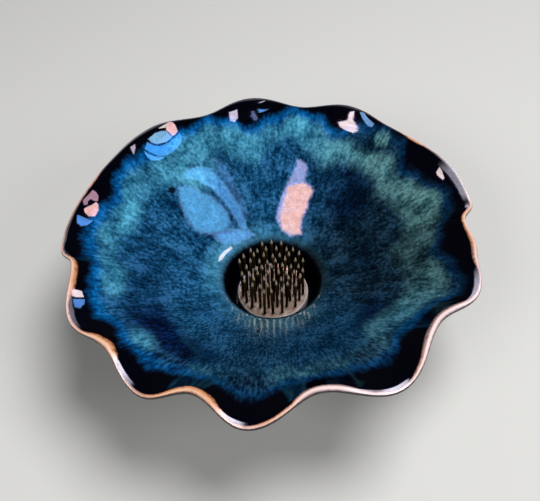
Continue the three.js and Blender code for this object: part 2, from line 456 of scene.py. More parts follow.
# %% Easing round the rim
def eased(list_round_rim, azimuth):
    """The values of a list at one azimuth in degrees, eased from each entry to the next."""
    after = next((i for i, entry in enumerate(list_round_rim) if entry[0] > azimuth), 0)
    here = list_round_rim[after - 1]
    there = list_round_rim[after]
    span = (there[0] - here[0]) % 360
    share = ((azimuth - here[0]) % 360) / span
    ease = (1 - math.cos(math.pi * share)) / 2
    return [a + (b - a) * ease for a, b in zip(here[1:], there[1:])]


print("at the viewer's side the rim sways out", eased(flutes, 270)[0])

# %% [markdown]
# ## The bowl by Geometry Nodes
#
# Two chains of points carry all that is known: the section, and a guide ring that holds the sway at
# each azimuth. A lathe modifier would turn only a plain round bowl. Here Curve to Mesh joins both
# chains into one closed skin, and Set Position moves each point to its place, so the lists reach
# every point as attributes. The tree has named inputs for its sizes, so that another bowl is one
# change away.


# %% A chain of points that carries attributes
def chain(name, points, closed, attributes):
    mesh = bpy.data.meshes.new(name)
    edges = [(i, i + 1) for i in range(len(points) - 1)]
    if closed:
        edges.append((len(points) - 1, 0))
    mesh.from_pydata(points, edges, [])
    for key, values in attributes.items():
        mesh.attributes.new(key, "FLOAT", "POINT").data.foreach_set("value", values)
    piece = bpy.data.objects.new(name, mesh)
    bpy.context.scene.collection.objects.link(piece)
    return piece


bowl_section = chain(
    "bowl_section",
    [(point.x, point.y, 0) for point in section],
    False,
    {
        "reach": [point.x for point in section],
        "height": [point.y for point in section],
        "edge_distance": edge_distance,
    },
)
print("the section is a chain of", len(bowl_section.data.vertices), "points")

# %% The guide ring
segments = 480
azimuths = [360 * k / segments for k in range(segments)]
guide_columns = [
    ("sway_out", flutes, 0, 1),
    ("sway_up", flutes, 1, 1),
    ("dark_width", edge_bands, 0, mm),
    ("cloud_near", edge_bands, 1, mm),
    ("cloud_far", edge_bands, 2, mm),
    ("cloud_share", edge_bands, 3, 1),
    ("deep_near", dish_bands, 0, mm),
    ("deep_far", dish_bands, 1, mm),
    ("deep_share", dish_bands, 2, 1),
    ("blue_and_lit_share", dish_bands, 3, 1),
    ("lip_share", lip_band, 0, 1),
    ("halo_share", lip_band, 1, 1),
    ("bare_width", crest_band, 0, mm),
    ("bare_grey", crest_band, 1, 1),
]
guides = {"azimuth": [math.radians(azimuth) for azimuth in azimuths]}
for label, list_round_rim, column, unit in guide_columns:
    guides[label] = [eased(list_round_rim, azimuth)[column] * unit for azimuth in azimuths]
rim_guide = chain(
    "fluted_bowl",
    [(along(azimuth).x, along(azimuth).y, 0) for azimuth in azimuths],
    True,
    guides,
)
print("the guide ring carries", ", ".join(guides))

# %% [markdown]
# A tree that a script builds is long-winded, because each node is made, set and linked by calls of
# its own. A few short forms keep every node to one line. Two more end a tree and run it: they make
# its instances real, put the material on, and keep the result as a plain mesh.


# %% Short forms for building trees
def add(tree, kind, inputs=None, **settings):
    """Adds a node. Each input is a plain value, a socket, or a node that gives its first output."""
    made = tree.nodes.new(kind)
    for key, value in settings.items():
        setattr(made, key, value)
    for key, value in (inputs or {}).items():
        if isinstance(value, bpy.types.Node):
            value = value.outputs[0]
        if isinstance(value, bpy.types.NodeSocket):
            tree.links.new(value, made.inputs[key])
        else:
            made.inputs[key].default_value = value
    return made


def start_tree(name, kind, inputs, outputs):
    """A node tree with named inputs and outputs: each is a name, a kind of socket and a default."""
    tree = bpy.data.node_groups.new(name, kind)
    for label, socket_kind, default in inputs:
        socket = tree.interface.new_socket(name=label, in_out="INPUT", socket_type=socket_kind)
        if default is not None:
            socket.default_value = default
    for label, socket_kind in outputs:
        tree.interface.new_socket(name=label, in_out="OUTPUT", socket_type=socket_kind)
    return tree, tree.nodes.new("NodeGroupInput").outputs, tree.nodes.new("NodeGroupOutput").inputs


def calculate(tree, operation, *values, **settings):
    """One Math node, and the socket of its result."""
    made = add(tree, "ShaderNodeMath", dict(enumerate(values)), operation=operation, **settings)
    return made.outputs[0]


def vector(tree, operation, *values, out="Vector"):
    """One Vector Math node, and the socket of its result."""
    inputs = dict(enumerate(values))
    if operation == "SCALE":
        inputs = {0: values[0], "Scale": values[1]}
    return add(tree, "ShaderNodeVectorMath", inputs, operation=operation).outputs[out]


print("short forms for trees are ready")


# %% The ends of a geometry tree
def named(tree, label, kind="FLOAT"):
    return add(tree, "GeometryNodeInputNamedAttribute", {"Name": label}, data_type=kind)


def coat_and_end(tree, geometry, material, result):
    """Makes instances real, puts the material on, and leads to the tree's output."""
    realized = add(tree, "GeometryNodeRealizeInstances", {"Geometry": geometry})
    inputs = {"Geometry": realized, "Material": material}
    coated = add(tree, "GeometryNodeSetMaterial", inputs)
    tree.links.new(coated.outputs["Geometry"], result["Geometry"])
    print(tree.name, "has", len(tree.nodes), "nodes")


def run_tree(piece, tree, values):
    """Puts a tree on a piece with its inputs set, and keeps the result as a plain mesh."""
    modifier = piece.modifiers.new(tree.name, "NODES")
    modifier.node_group = tree
    sockets = {item.name: item.identifier for item in tree.interface.items_tree}
    for label, value in values.items():
        modifier[sockets[label]] = value
    depsgraph = bpy.context.evaluated_depsgraph_get()
    made = bpy.data.meshes.new_from_object(
        piece.evaluated_get(depsgraph), preserve_all_data_layers=True, depsgraph=depsgraph
    )
    piece.modifiers.remove(modifier)
    piece.data = made
    print(piece.name, "has", len(made.polygons), "faces")


print("trees can be ended and run")

# %% [markdown]
# The tree joins ring and section into a skin, and then moves each point by the sway at its azimuth
# times the square of how far out it lies. So the inner dish stays round and the rim sways most. Both
# sides of the wall move alike, which keeps its thickness, as a displacement along the normals
# wouldn't.

# %% The tree that turns and flutes
turning, given, result = start_tree(
    "turned and fluted",
    "GeometryNodeTree",
    [
        ("Guide", "NodeSocketGeometry", None),
        ("Section", "NodeSocketObject", None),
        ("Reach", "NodeSocketFloat", flute_reach),
        ("Rise", "NodeSocketFloat", flute_rise),
        ("Sway From", "NodeSocketFloat", 50 * mm),
        ("Sway To", "NodeSocketFloat", 90 * mm),
        ("Material", "NodeSocketMaterial", None),
    ],
    [("Geometry", "NodeSocketGeometry")],
)
section_geometry = add(turning, "GeometryNodeObjectInfo", {"Object": given["Section"]})
ring = add(turning, "GeometryNodeMeshToCurve", {"Mesh": given["Guide"]})
profile = add(turning, "GeometryNodeMeshToCurve", {"Mesh": section_geometry.outputs["Geometry"]})
skin = add(turning, "GeometryNodeCurveToMesh", {"Curve": ring, "Profile Curve": profile})
sway_range = {"From Min": given["Sway From"], "From Max": given["Sway To"]}
share = add(turning, "ShaderNodeMapRange", {"Value": named(turning, "reach"), **sway_range})
share = calculate(turning, "MULTIPLY", share, share)
out = calculate(turning, "MULTIPLY", named(turning, "sway_out"), given["Reach"])
up = calculate(turning, "MULTIPLY", named(turning, "sway_up"), given["Rise"])
radius = calculate(turning, "MULTIPLY_ADD", out, share, named(turning, "reach"))
height = calculate(turning, "MULTIPLY_ADD", up, share, named(turning, "height"))
angle = named(turning, "azimuth")
x = calculate(turning, "MULTIPLY", radius, calculate(turning, "COSINE", angle))
y = calculate(turning, "MULTIPLY", radius, calculate(turning, "SINE", angle))
place = add(turning, "ShaderNodeCombineXYZ", {"X": x, "Y": y, "Z": height})
placed = add(turning, "GeometryNodeSetPosition", {"Geometry": skin, "Position": place})
closing = {"Geometry": placed, "Distance": 0.002 * mm}
closed = add(turning, "GeometryNodeMergeByDistance", closing)
smooth = add(turning, "GeometryNodeSetShadeSmooth", {"Geometry": closed})
coat_and_end(turning, smooth, given["Material"], result)

# %% Turn the bowl
glaze = bpy.data.materials.new("floating_glaze")
glaze.use_nodes = True
sway_span = rim_centre.x - lip[-1].x
bowl = rim_guide
run_tree(
    bowl,
    turning,
    {
        "Section": bowl_section,
        "Reach": flute_reach,
        "Rise": flute_rise,
        "Sway From": lip[-1].x + flute_start * sway_span,
        "Sway To": rim_centre.x,
        "Material": glaze,
    },
)
bpy.data.objects.remove(bowl_section)
skin_check = bmesh.new()
skin_check.from_mesh(bowl.data)
print(f"volume {skin_check.calc_volume(signed=True) * 1e6:.1f} cm3")
print(sum(not edge.is_manifold for edge in skin_check.edges), "open edges")
skin_check.free()
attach(bowl, "bowl")
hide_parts("bowl")

# %% [markdown]
# ## The frog's pins
#
# The pins are cast into the lead on a triangular lattice, and each leans a little its own way. They
# could be copied one by one in a loop, but one pin and one collar of lead round its foot are turned
# once, and a second tree sets a copy of each on every point of the lattice.


# %% A turned piece from its profile
def turned(name, profile_points, sides):
    """Spins a profile of (radius, height) points, from axis to axis, into a closed body."""
    body = bmesh.new()
    rings = []
    for radius, height in profile_points:
        if radius == 0:
            rings.append([body.verts.new((0, 0, height))])
            continue
        turns = [2 * math.pi * k / sides for k in range(sides)]
        rings.append(
            [body.verts.new((radius * math.cos(t), radius * math.sin(t), height)) for t in turns]
        )
    for low, high in zip(rings, rings[1:]):
        for k in range(sides):
            corners = [low[k % len(low)], low[(k + 1) % len(low)]]
            corners += [high[(k + 1) % len(high)], high[k % len(high)]]
            unique = list(dict.fromkeys(corners))
            body.faces.new(unique)
    bmesh.ops.recalc_face_normals(body, faces=body.faces)
    mesh = bpy.data.meshes.new(name)
    body.to_mesh(mesh)
    body.free()
    mesh.shade_smooth()
    piece = bpy.data.objects.new(name, mesh)
    bpy.context.scene.collection.objects.link(piece)
    return piece


pin_length = 24.4 * mm
pin_radius = 0.65 * mm
pin_point = 2.6 * mm
pin_depth = 4.8 * mm
one_pin = turned(
    "one_pin",
    [
        (0, 0),
        (pin_radius, 0),
        (pin_radius, pin_length / 2),
        (pin_radius, pin_length - pin_point * 1.04),
        (pin_radius * 0.97, pin_length - pin_point * 0.96),
        (pin_radius * 0.5, pin_length - pin_point * 0.48),
        (pin_radius * 0.12, pin_length - pin_point * 0.06),
        (0, pin_length),
    ],
    16,
)
one_collar = turned(
    "one_collar",
    [
        (0, pin_depth - 0.2 * mm),
        (1.25 * mm, pin_depth - 0.2 * mm),
        (1.2 * mm, pin_depth + 0.02 * mm),
        (0.95 * mm, pin_depth + 0.1 * mm),
        (0.78 * mm, pin_depth + 0.3 * mm),
        (0.68 * mm, pin_depth + 0.6 * mm),
        (0, pin_depth + 0.6 * mm),
    ],
    14,
)
print("one pin stands", round(1000 * (pin_length - pin_depth), 1), "mm proud of the disc")

# %% The lattice of pins and the lean of each
lattice_reach = 3
edge_margin = 2.2 * mm
outer_ring = lattice_reach * lattice_reach + lattice_reach + 1
pitch = (frog_radius - edge_margin) / math.sqrt(outer_ring)
pin_places = []
span = lattice_reach + 1
for row in range(-span, span + 1):
    for column in range(-2 * span, 2 * span + 1):
        steps = column + row / 2
        if steps * steps + 0.75 * row * row < outer_ring + 0.01:
            pin_places.append((steps * pitch, row * math.sqrt(3) * pitch / 2, frog_top - pin_depth))
lean_limit = math.radians(2.6)
straightest_share = 0.25
golden_angle = math.pi * (3 - math.sqrt(5))
pin_leans = []
for index in range(len(pin_places)):
    turned_share = ((index * 7) % 11) / 10
    amount = lean_limit * (straightest_share + (1 - straightest_share) * turned_share)
    way = 2 * index * golden_angle
    pin_leans.append((amount * math.cos(way), amount * math.sin(way), 0))
print(len(pin_places), "pins at a pitch of", round(1000 * pitch, 2), "mm")

# %% The tree that sets a copy on each point
setting, given, result = start_tree(
    "set on a lattice",
    "GeometryNodeTree",
    [
        ("Points", "NodeSocketGeometry", None),
        ("Copy", "NodeSocketObject", None),
        ("Turn Seed", "NodeSocketInt", 4),
        ("Shade Seed", "NodeSocketInt", 11),
        ("Material", "NodeSocketMaterial", None),
    ],
    [("Geometry", "NodeSocketGeometry")],
)


def chance(inputs):
    """A random share for each copy, up to a given most."""
    return add(setting, "FunctionNodeRandomValue", inputs, data_type="FLOAT").outputs[1]


copy = add(setting, "GeometryNodeObjectInfo", {"Object": given["Copy"], "As Instance": True})
lean = named(setting, "lean", "FLOAT_VECTOR")
standing = {"Points": given["Points"], "Instance": copy.outputs["Geometry"], "Rotation": lean}
stood = add(setting, "GeometryNodeInstanceOnPoints", standing)
turn = chance({"Max": 2 * math.pi, "Seed": given["Turn Seed"]})
spin = add(setting, "ShaderNodeCombineXYZ", {"Z": turn})
spun = add(setting, "GeometryNodeRotateInstances", {"Instances": stood, "Rotation": spin})
number = add(setting, "GeometryNodeInputIndex")
own_shade = chance({"ID": number, "Seed": given["Shade Seed"]})
marked = add(
    setting,
    "GeometryNodeStoreNamedAttribute",
    {"Geometry": spun, "Name": "own_shade", "Value": own_shade},
    data_type="FLOAT",
    domain="INSTANCE",
)
coat_and_end(setting, marked, given["Material"], result)


# %% Set the pins and their collars
def lattice_of(name, one, material):
    mesh = bpy.data.meshes.new(name)
    mesh.from_pydata(pin_places, [], [])
    leans = mesh.attributes.new("lean", "FLOAT_VECTOR", "POINT")
    leans.data.foreach_set("vector", [angle for lean in pin_leans for angle in lean])
    piece = bpy.data.objects.new(name, mesh)
    bpy.context.scene.collection.objects.link(piece)
    run_tree(piece, setting, {"Copy": one, "Material": material})
    bpy.data.objects.remove(one)
    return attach(piece, "flower_frog")


brass = bpy.data.materials.new("pin_brass")
brass.use_nodes = True
lead = bpy.data.materials.new("cast_lead")
lead.use_nodes = True
frog_pins = lattice_of("frog_pins", one_pin, brass)
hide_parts(*[f"pin_{i + 1:02d}" for i in range(len(pin_places))])
frog_collars = lattice_of("frog_collars", one_collar, lead)

# %% [markdown]
# The disc is cast in a mould and comes out with round edges. A cylinder with a Bevel modifier would
# do, but the turning helper of the pins gives the edges and the rings of its flat top in one go.

# %% The cast disc
edge = 0.9 * mm
edge_turns = 8
disc_profile = [(0, 0), (frog_radius - 0.5 * mm, 0), (frog_radius - 0.1 * mm, 0.15 * mm)]
disc_profile += [(frog_radius, 0.5 * mm), (frog_radius, frog_height / 2)]
for i in range(edge_turns + 1):
    angle = math.pi / 2 * i / edge_turns
    disc_profile.append(
        (frog_radius - edge * (1 - math.cos(angle)), frog_height - edge * (1 - math.sin(angle)))
    )
disc_profile += [(frog_radius * share, frog_height) for share in (0.85, 0.6, 0.3)]
disc_profile.append((0, frog_height))
frog_disc = turned("frog_disc", disc_profile, 144)
frog_disc.data.transform(Matrix.Translation((0, 0, frog_floor)))
frog_disc.data.materials.append(lead)
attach(frog_disc, "flower_frog")
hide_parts("frog_base")
print("the disc has", len(frog_disc.data.polygons), "faces")

# %% [markdown]
# The dish would mirror the dark sides of the pins as brown smears that a rippled glaze doesn't show,
# so the frog is hidden from the gloss. Further on, sleeves of light stand in for its bright tips.

# %% Hide the frog from the gloss
for piece in (frog_pins, frog_collars, frog_disc):
    piece.visible_glossy = False
print("the frog is left out of reflections")

# %% [markdown]
# ## Short forms for finishes
#
# Each layer of a finish is one line: a soft step where it begins, a share, and the colour that it
# brings. A painted image could hold the same look, but sums keep every edge sharp from close by and
# can be changed in one place.


# %% Colours and ramps
def colour(red, green, blue):
    """A colour written as screen values of 0 to 255, as linear light."""
    parts = [part / 255 for part in (red, green, blue)]
    light = [part / 12.92 if part <= 0.04045 else ((part + 0.055) / 1.055) ** 2.4 for part in parts]
    return (*light, 1)


def ramp(tree, value, stops):
    """A colour ramp of (position, colour) stops."""
    made = add(tree, "ShaderNodeValToRGB", {"Fac": value})
    elements = made.color_ramp.elements
    while len(elements) < len(stops):
        elements.new(1)
    for element, (position, shade) in zip(elements, stops):
        element.position = position
        element.color = shade
    return made.outputs["Color"]


def blend(tree, share, first, second):
    """Mixes two colours by a share. A Mix node has its colours at sockets 6 and 7."""
    inputs = {0: share, 6: first, 7: second}
    return add(tree, "ShaderNodeMix", inputs, data_type="RGBA").outputs[2]


print("deep glaze blue is", [round(part, 3) for part in colour(16, 62, 92)])


# %% Steps, noise and attributes
def step(tree, value, start, end, low=0.0, high=1.0):
    """A smooth step from low to high as a value goes from start to end."""
    inputs = {"Value": value, "From Min": start, "From Max": end, "To Min": low, "To Max": high}
    kind = "ShaderNodeMapRange"
    return add(tree, kind, inputs, interpolation_type="SMOOTHSTEP").outputs["Result"]


def between(tree, value, near, far, softness):
    """A soft band: one between two distances, nought outside them."""
    past_near = step(tree, calculate(tree, "SUBTRACT", value, near), -softness, softness)
    before_far = step(tree, calculate(tree, "SUBTRACT", far, value), -softness, softness)
    return calculate(tree, "MULTIPLY", past_near, before_far)


def noise(tree, place, size, detail=2.0, roughness=0.5):
    """Noise whose features measure a size in metres."""
    inputs = {"Vector": place, "Scale": 1 / size, "Detail": detail, "Roughness": roughness}
    return add(tree, "ShaderNodeTexNoise", inputs).outputs["Fac"]


def attribute(tree, label):
    return add(tree, "ShaderNodeAttribute", attribute_name=label).outputs["Fac"]


def object_place(tree):
    return add(tree, "ShaderNodeTexCoord").outputs["Object"]


print("steps, bands and noise are ready")

# %% [markdown]
# A floating glaze crawls downhill while it melts, so its dark specks are drawn out along the slope.
# The streak group gets that look by averaging one noise at several steps along the radius, which
# keeps the specks the same width near the well and near the rim. The glaze uses it three times with
# its own widths, so it is a group with named inputs.

# %% The radial streaks
streaks, given, result = start_tree(
    "radial streaks",
    "ShaderNodeTree",
    [
        ("Vector", "NodeSocketVector", None),
        ("Width", "NodeSocketFloat", 0.6 * mm),
        ("Length", "NodeSocketFloat", 3 * mm),
        ("Seed", "NodeSocketFloat", 0.0),
    ],
    [("Value", "NodeSocketFloat")],
)
flat = vector(streaks, "MULTIPLY", given["Vector"], (1, 1, 0))
outwards = vector(streaks, "NORMALIZE", flat)
scale = calculate(streaks, "DIVIDE", 1.0, given["Width"])
taps = 5
total = 0.0
for tap in range(taps):
    shift = calculate(streaks, "MULTIPLY", given["Length"], tap / (taps - 1) - 0.5)
    moved = vector(streaks, "ADD", flat, vector(streaks, "SCALE", outwards, shift))
    sample = add(
        streaks,
        "ShaderNodeTexNoise",
        {"Vector": moved, "W": given["Seed"], "Scale": scale, "Detail": 1.5, "Distortion": 0.4},
        noise_dimensions="4D",
    )
    total = calculate(streaks, "ADD", total, sample)
mean = calculate(streaks, "DIVIDE", total, float(taps))
spread = add(streaks, "ShaderNodeMapRange", {"Value": mean, "From Min": 0.24, "From Max": 0.76})
streaks.links.new(spread.outputs["Result"], result["Value"])
print("each streak takes", taps, "steps along the radius")

# %% [markdown]
# ## The floating glaze
#
# From the rim inwards the glaze goes through bands: bare clay where it ran off the crest, a
# near-black band where it is thin, a strong blue fringe, a pale cloud, and the speckled blue of the
# dish with darker pools. The lip of the well is smooth, and the well is black again. Each band lies
# between two distances from the crest, which the rim's lists give, and its edges are ruffled by the
# streaks. First come the patterns that all bands share.

# %% The patterns of the glaze
tree = glaze.node_tree
shader = tree.nodes["Principled BSDF"]
position = object_place(tree)


def streaked(width, length, seed):
    """Streaks of a width and a length in millimetres."""
    inputs = {"Vector": position, "Width": width * mm, "Length": length * mm, "Seed": seed}
    return add(tree, "ShaderNodeGroup", inputs, node_tree=streaks).outputs["Value"]


fine = streaked(1.6, 2.2, 1.0)
coarse = streaked(5, 7, 5.0)
feather = streaked(1.4, 4, 9.0)
speck = step(tree, noise(tree, position, 1.5 * mm, detail=1.0), 0.3, 0.7)
mottle = noise(tree, position, 9 * mm, detail=3.0)
drift = noise(tree, position, 34 * mm)
print("streaks, specks, mottles and drifts are ready")

# %% Ruffled distances from the crest
edge_in = attribute(tree, "edge_distance")
ruffle_width = 3.6 * mm
swell_width = 6 * mm
ruffle = calculate(tree, "MULTIPLY_ADD", feather, ruffle_width, -ruffle_width / 2)
swell = calculate(tree, "MULTIPLY_ADD", mottle, swell_width, -swell_width / 2)
ruffled = calculate(tree, "ADD", edge_in, calculate(tree, "ADD", ruffle, swell))
inward = calculate(tree, "SUBTRACT", ruffled, attribute(tree, "dark_width"))


def patch(label, softness):
    """The band that the rim's lists give under a label, times its share."""
    near, far, share = (attribute(tree, f"{label}_{part}") for part in ("near", "far", "share"))
    return calculate(tree, "MULTIPLY", between(tree, ruffled, near, far, softness), share)


cloud = calculate(
    tree, "MULTIPLY", patch("cloud", 5 * mm), step(tree, mottle, 0.3, 0.6, 0.6, 1.15)
)
pool = patch("deep", 6 * mm)
print("the glaze's bands are measured from the crest")

# %% [markdown]
# Where the glaze ran, it left fine threads down the slope that widen towards the rim. Their noise is
# read on a ring: the place round the axis, and the logarithm of the distance from it, so a thread
# keeps its proportions all the way up. They show most at the viewer's side, where the glaze is
# thick.

# %% The threads where the glaze ran
thread_size = 0.8 * mm
ring_radius = 52 * mm
ring_stretch = 20 * mm
flat = vector(tree, "MULTIPLY", position, (1, 1, 0))
outwards = vector(tree, "NORMALIZE", flat)
from_axis = vector(tree, "LENGTH", flat, out="Value")
climb = calculate(tree, "LOGARITHM", calculate(tree, "DIVIDE", from_axis, mm), math.e)
up_ring = add(tree, "ShaderNodeCombineXYZ", {"Z": calculate(tree, "MULTIPLY", climb, ring_stretch)})
on_ring = vector(tree, "ADD", vector(tree, "SCALE", outwards, ring_radius), up_ring)
run = step(tree, noise(tree, on_ring, thread_size, detail=2.5, roughness=0.6), 0.28, 0.72)
to_back = add(tree, "ShaderNodeSeparateXYZ", {"Vector": outwards}).outputs["Y"]
near_side = step(tree, to_back, -0.35, -0.8)
print("threads run down from the rim")

# %% [markdown]
# One side of the bowl is bluer and lighter than the other: partly the glaze, which came out of the
# kiln bluer there, and partly painted light from a window on that side. So each band has two colours,
# with a contrast and a haze for its specks. The grain adds up the patterns by their weights, once for
# the far side and once for the viewer's, and moves each colour between its dark specks and its pale
# ones.

# %% The grain
grain = 0.5
for layer, far_weight, near_weight in (
    (fine, 0.55, 0.25),
    (speck, 0.3, 0.1),
    (run, 0.15, 0.6),
    (coarse, 0.55, 0.35),
    (mottle, 0.8, 0.7),
):
    layer = calculate(tree, "SUBTRACT", layer, 0.5)
    weight = step(tree, near_side, 0.0, 1.0, far_weight, near_weight)
    grain = calculate(tree, "MULTIPLY_ADD", layer, weight, grain)
# The bluer, lighter side is partly glaze and partly painted window light.
blue_and_lit_side = calculate(tree, "MULTIPLY_ADD", drift, 0.5, -0.25)
blue_and_lit_side = calculate(tree, "ADD", attribute(tree, "blue_and_lit_share"), blue_and_lit_side, use_clamp=True)
print("the grain weighs five patterns")

# %% The colours of the bands
band_colours = {
    "dish": ((9, 30, 44), 2.2, 0.006, (15, 68, 104), 1.6, 0.018),
    "deep": ((0, 15, 31), 1.9, 0.002, (1, 20, 56), 2.0, 0.001),
    "cloud": ((72, 109, 108), 1.15, 0.01, (66, 146, 176), 0.75, 0.03),
    "fringe": ((6, 37, 62), 1.3, 0.001, (1, 86, 148), 1.2, 0.002),
}
dark_speck = (0.18, 0.4, 0.5)
pale_speck = 1.7
haze_colour = (1, 0.7, 0.5)


def speckled(shade, contrast, haze):
    """A glaze colour with its specks: darker and bluer below it, paler and greyer above."""
    middle = colour(*shade)
    sunk = [part * share**contrast for part, share in zip(middle, dark_speck)]
    risen = [part * pale_speck**contrast + haze * own for part, own in zip(middle, haze_colour)]
    return ramp(tree, grain, [(0.22, (*sunk, 1)), (0.5, middle), (0.78, (*risen, 1))])


bands = {}
for band, settings in band_colours.items():
    bands[band] = blend(tree, blue_and_lit_side, speckled(*settings[:3]), speckled(*settings[3:]))
black_glaze = colour(1, 1, 8)
print("colours for", ", ".join(bands))

# %% [markdown]
# The bands are laid over each other as the glaze lies on the pot: the dish first, then its pools and
# clouds, then the fringe and the black band along the rim.

# %% Lay the bands of the dish
surface = blend(tree, pool, bands["dish"], bands["deep"])
surface = blend(tree, cloud, surface, bands["cloud"])
surface = blend(tree, step(tree, inward, 7.5 * mm, 1.5 * mm), surface, bands["fringe"])
surface = blend(tree, step(tree, inward, 4 * mm, -2.5 * mm), surface, black_glaze)
print("the bands of the dish are laid")

# %% Lay the lip and the well
near_lip = step(tree, edge_in, lip_distance - 12 * mm, lip_distance - 2 * mm)
halo = calculate(tree, "MULTIPLY", near_lip, attribute(tree, "halo_share"))
surface = blend(tree, calculate(tree, "MULTIPLY", halo, 0.6), surface, bands["cloud"])
lip_shade = blend(tree, attribute(tree, "lip_share"), colour(18, 42, 44), colour(64, 116, 150))
lip_edge = calculate(tree, "ADD", edge_in, ruffle)
to_lip = step(tree, lip_edge, lip_distance - 3 * mm, lip_distance + 1 * mm, 0.0, 0.6)
surface = blend(tree, to_lip, surface, lip_shade)
# The well's black is dark glaze and partly painted shade in the recess.
to_well = step(tree, lip_edge, lip_distance - 0.4 * mm, lip_distance + 3.6 * mm)
surface = blend(tree, to_well, surface, black_glaze)
print("the lip and the well are laid")

# %% [markdown]
# The firing left two flaws in the dish: a patch at the back right where the glaze blistered and
# stayed pale, and a dark drop at the back left. The rim's lists are too coarse for them, so each is
# a soft spot round its own centre.


# %% The blistered patch and the dark drop
def spot(centre, outer_reach, inner_reach):
    """One soft spot round a centre in millimetres, with a wandering edge."""
    middle = [part * mm for part in centre]
    away = vector(tree, "DISTANCE", position, middle, out="Value")
    away = calculate(tree, "MULTIPLY_ADD", noise(tree, position, 3 * mm, detail=3.0), 4 * mm, away)
    return step(tree, calculate(tree, "SUBTRACT", away, 2 * mm), outer_reach, inner_reach)


blister = spot((55.5, 56.8, 59.2), 5.5 * mm, 3 * mm)
blister = calculate(tree, "MULTIPLY", blister, step(tree, run, 0.1, 0.7, 0.35, 1.0))
surface = blend(tree, blister, surface, bands["cloud"])
dark_drop = spot((-47.3, 39.4, 45.6), 2.6 * mm, 1 * mm)
surface = blend(tree, dark_drop, surface, colour(6, 18, 36))
print("the blistered patch and the dark drop are laid")

# %% [markdown]
# The outside is black all over, down to the foot. A potter wipes the foot clean, so that it doesn't
# stick to the kiln's shelf, and the bare stoneware shows in a narrow ring.

# %% The black outside and the wiped foot
outer = step(tree, edge_in, 0.1 * mm, -0.5 * mm)
surface = blend(tree, outer, surface, black_glaze)
place_up = add(tree, "ShaderNodeSeparateXYZ", {"Vector": position}).outputs["Z"]
wiped = calculate(tree, "MULTIPLY_ADD", mottle, -0.9 * mm, place_up)
wiped = step(tree, wiped, 2.4 * mm, 2.1 * mm)
stoneware = blend(tree, speck, colour(128, 92, 66), colour(160, 124, 96))
surface = blend(tree, wiped, surface, stoneware)
print("the foot is wiped")

# %% [markdown]
# Along the crest the melting glaze ran away from the edge and left the clay bare: orange brown
# towards the left and the front, a pinker grey at the right. The strip is palest in its middle, a
# painted highlight along the round, and rust brown at both edges and in fine veins.

# %% The bare crest
wander = calculate(tree, "MULTIPLY_ADD", mottle, 0.8 * mm, -0.4 * mm)
crest = calculate(tree, "ADD", edge_in, wander)
bare_width = attribute(tree, "bare_width")
bare_grey = attribute(tree, "bare_grey")
bare = between(tree, crest, 0, bare_width, 0.3 * mm)
start = calculate(tree, "ADD", crest, 0.15 * mm)
across_bare = calculate(tree, "DIVIDE", start, calculate(tree, "ADD", bare_width, 0.3 * mm))
# The pale middle of the bare strip is a painted highlight.
painted_crest_highlight = between(tree, across_bare, 0.22, 0.52, 0.15)
painted_crest_highlight = calculate(tree, "MULTIPLY", painted_crest_highlight, step(tree, drift, 0.36, 0.56, 0.3, 1.0))
veins = noise(tree, position, 1.6 * mm, detail=3.0, roughness=0.6)
inner_edge = step(tree, across_bare, 0.6, 1.05)
stained = calculate(tree, "MAXIMUM", step(tree, across_bare, 0.25, 0.0), inner_edge)
stained = calculate(tree, "ADD", stained, step(tree, veins, 0.55, 0.35, -0.15, 0.4))
tan = blend(tree, bare_grey, colour(202, 138, 98), colour(176, 146, 142))
rust = blend(tree, bare_grey, colour(104, 58, 34), colour(92, 66, 60))
pale = blend(tree, bare_grey, colour(236, 192, 160), colour(232, 206, 204))
clay = blend(tree, painted_crest_highlight, blend(tree, stained, tan, rust), pale)
surface = blend(tree, bare, surface, clay)
tree.links.new(surface, shader.inputs["Base Color"])
print("the crest is bare")

# %% [markdown]
# The glaze is glass: glossy, with small waves that break up what it mirrors. They are strong in the
# dish and faint near the rim and on the lip, where the glaze ran thin over smooth clay. The well,
# the bare crest and the foot are rougher. The waves are too small for the mesh, so they are a bump.

# %% Gloss and the surface's small waves
matt = calculate(tree, "MAXIMUM", bare, to_well)
rough = step(tree, matt, 0.0, 1.0, 0.07, 0.2)
rough = calculate(tree, "MULTIPLY_ADD", to_well, 0.25, rough)
rough = calculate(tree, "MULTIPLY_ADD", wiped, 0.5, rough)
tree.links.new(rough, shader.inputs["Roughness"])
shader.inputs["IOR"].default_value = 1.55
rippled = step(tree, edge_in, 8 * mm, 20 * mm, 0.06, 1.8)
rippled = calculate(tree, "MULTIPLY", rippled, step(tree, near_lip, 0.0, 0.9, 1.0, 0.1))
ripples = calculate(tree, "MULTIPLY", calculate(tree, "ADD", fine, speck), rippled)
waves = calculate(tree, "MULTIPLY_ADD", mottle, 8.0, ripples)
bump = add(tree, "ShaderNodeBump", {"Height": waves, "Strength": 0.5, "Distance": 0.012 * mm})
tree.links.new(bump.outputs["Normal"], shader.inputs["Normal"])
print("the glaze is done")

# %% [markdown]
# ## Brass and lead
#
# The pins are drawn brass that has stood in water: dull brown from tarnish and from painted shade,
# up to their points, which a painted highlight makes bright. Each pin also has a shade of its own,
# which its instance carried as an attribute. One colour for all would look cast in one piece.

# %% Brass
tree = brass.node_tree
shader = tree.nodes["Principled BSDF"]
position = object_place(tree)
tarnish = noise(tree, position, 1.6 * mm, detail=4.0)
tarnish = calculate(tree, "MULTIPLY_ADD", attribute(tree, "own_shade"), 0.3, tarnish)
# The brown is tarnish, darkened further by painted shade in the well.
brown_brass_and_shade = [(0.35, colour(48, 34, 20)), (0.6, colour(84, 62, 38)), (0.85, colour(128, 102, 66))]
height_up = add(tree, "ShaderNodeSeparateXYZ", {"Vector": position}).outputs["Z"]
tip_from = frog_top + pin_length - pin_depth - pin_point
